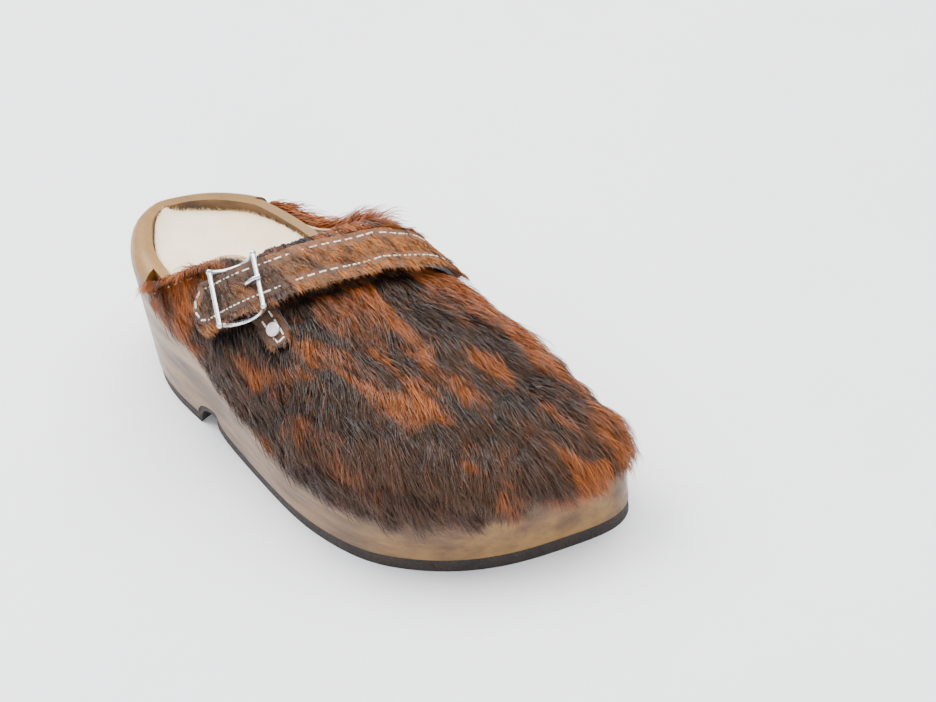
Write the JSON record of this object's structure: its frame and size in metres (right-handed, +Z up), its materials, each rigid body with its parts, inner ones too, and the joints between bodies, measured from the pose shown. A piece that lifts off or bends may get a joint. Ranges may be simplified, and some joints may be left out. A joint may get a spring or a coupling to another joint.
{
  "type": "clog",
  "caption": "Right-foot clog: wooden sole with raised heel and rubber outsole, hair-on hide upper, riveted instep strap with buckle.",
  "frame": {"origin": "middle of the outline seen from above, on the ground under the rubber", "axes": "+X heel to toe, +Y towards the inner (big toe) side of this right shoe, +Z up"},
  "size_m": [0.2581, 0.111, 0.1037],
  "materials": {
    "wood": "satin, oiled, streaky grain",
    "rubber": "matte, slightly rough",
    "insole_leather": "natural vegetable-tanned, matte",
    "hair_on_hide": "brindled short hair lying flat, mixed dark brown, grey and rust",
    "lining_leather": "pale tan, matte",
    "thread": "waxed cream thread",
    "steel": "plain",
    "pale_cap": "satin",
    "grey_leather": "grey split leather, matte",
    "nickel": "polished nickel"
  },
  "bodies": {
    "clog": {"wooden_sole": "wood", "rubber_outsole": "rubber", "leather_insole": "insole_leather", "upper_hide": "hair_on_hide", "upper_lining": "lining_leather", "topline_stitching": "thread", "upper_nails": "steel", "lateral_rivet_base": "steel", "lateral_rivet_cap": "pale_cap", "medial_rivet_base": "steel", "medial_rivet_cap": "pale_cap"},
    "strap": {"strap_hide": "hair_on_hide", "strap_lining": "grey_leather", "strap_stitching": "thread", "buckle_tab_hide": "hair_on_hide", "buckle_tab_lining": "grey_leather", "buckle_tab_stitching": "thread"},
    "buckle": {"buckle_frame": "nickel"},
    "prong": {"buckle_prong": "nickel"}
  },
  "joints": [
    {"name": "strap_swing", "type": "hinge", "parent": "clog", "child": "strap", "pos_m": [0.01105, 0.00833, 0.07344], "axis": [0.2126, 0.9673, -0.138], "range_deg": [0, 6]},
    {"name": "buckle_tilt", "type": "hinge", "parent": "strap", "child": "buckle", "pos_m": [-0.01669, -0.02786, 0.08768], "axis": [-0.6888, 0.5299, 0.4947], "range_deg": [-1.5, 1.5]},
    {"name": "prong_lift", "type": "hinge", "parent": "buckle", "child": "prong", "pos_m": [-0.01669, -0.02786, 0.08768], "axis": [0.6888, -0.5299, -0.4947], "range_deg": [0, 25]}
  ]
}
